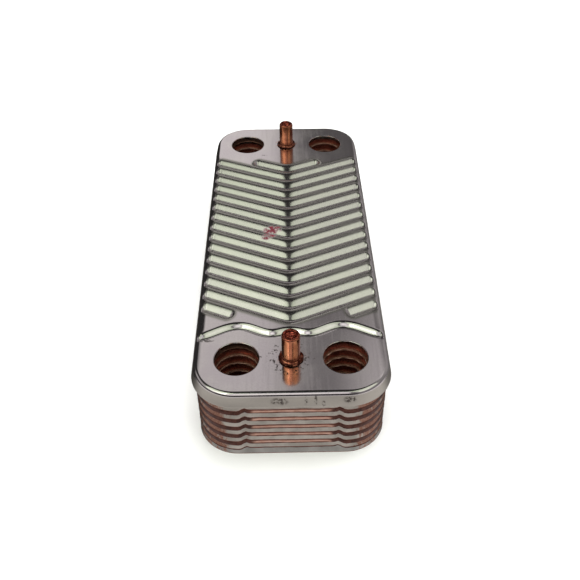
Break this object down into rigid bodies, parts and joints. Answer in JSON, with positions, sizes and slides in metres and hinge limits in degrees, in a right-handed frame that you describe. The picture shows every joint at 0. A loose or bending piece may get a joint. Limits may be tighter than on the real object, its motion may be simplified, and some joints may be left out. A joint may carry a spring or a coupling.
{
  "type": "brazed plate heat exchanger",
  "caption": "Brazed plate heat exchanger: a ported front cover with V-shaped grooves on a nested pack of flared steel plates, with copper seams and hollow threaded studs.",
  "frame": {"origin": "middle of the surface that the back cover's skirt stands on", "axes": "+Z out of the ported front face, +Y along the plates away from the serpentine groove, +X across them"},
  "size_m": [0.0738, 0.1908, 0.0456],
  "materials": {
    "cover_steel": "bright pressed stainless, finely scratched",
    "plate_steel": "furnace-dulled stainless with copper blush at the ports",
    "back_steel": "furnace-dulled stainless",
    "seam_copper": "braze copper, dull and slightly oxidised",
    "stud_copper": "copper-washed steel, glossy",
    "braze_copper": "uneven braze fillet, satin"
  },
  "bodies": {
    "root": {"front_cover": "cover_steel", "channel_plate_01": "plate_steel", "channel_plate_02": "plate_steel", "channel_plate_03": "plate_steel", "channel_plate_04": "plate_steel", "channel_plate_05": "plate_steel", "channel_plate_06": "plate_steel", "channel_plate_07": "plate_steel", "channel_plate_08": "plate_steel", "channel_plate_09": "plate_steel", "channel_plate_10": "plate_steel", "channel_plate_11": "plate_steel", "back_cover": "back_steel", "braze_seam_01": "seam_copper", "braze_seam_02": "seam_copper", "braze_seam_03": "seam_copper", "braze_seam_04": "seam_copper", "braze_seam_05": "seam_copper", "braze_seam_06": "seam_copper", "braze_seam_07": "seam_copper", "braze_seam_08": "seam_copper", "braze_seam_09": "seam_copper", "braze_seam_10": "seam_copper", "braze_seam_11": "seam_copper", "braze_seam_12": "seam_copper", "threaded_stud_near": "stud_copper", "threaded_stud_far": "stud_copper", "stud_braze_near": "braze_copper", "stud_braze_far": "braze_copper"}
  },
  "joints": []
}
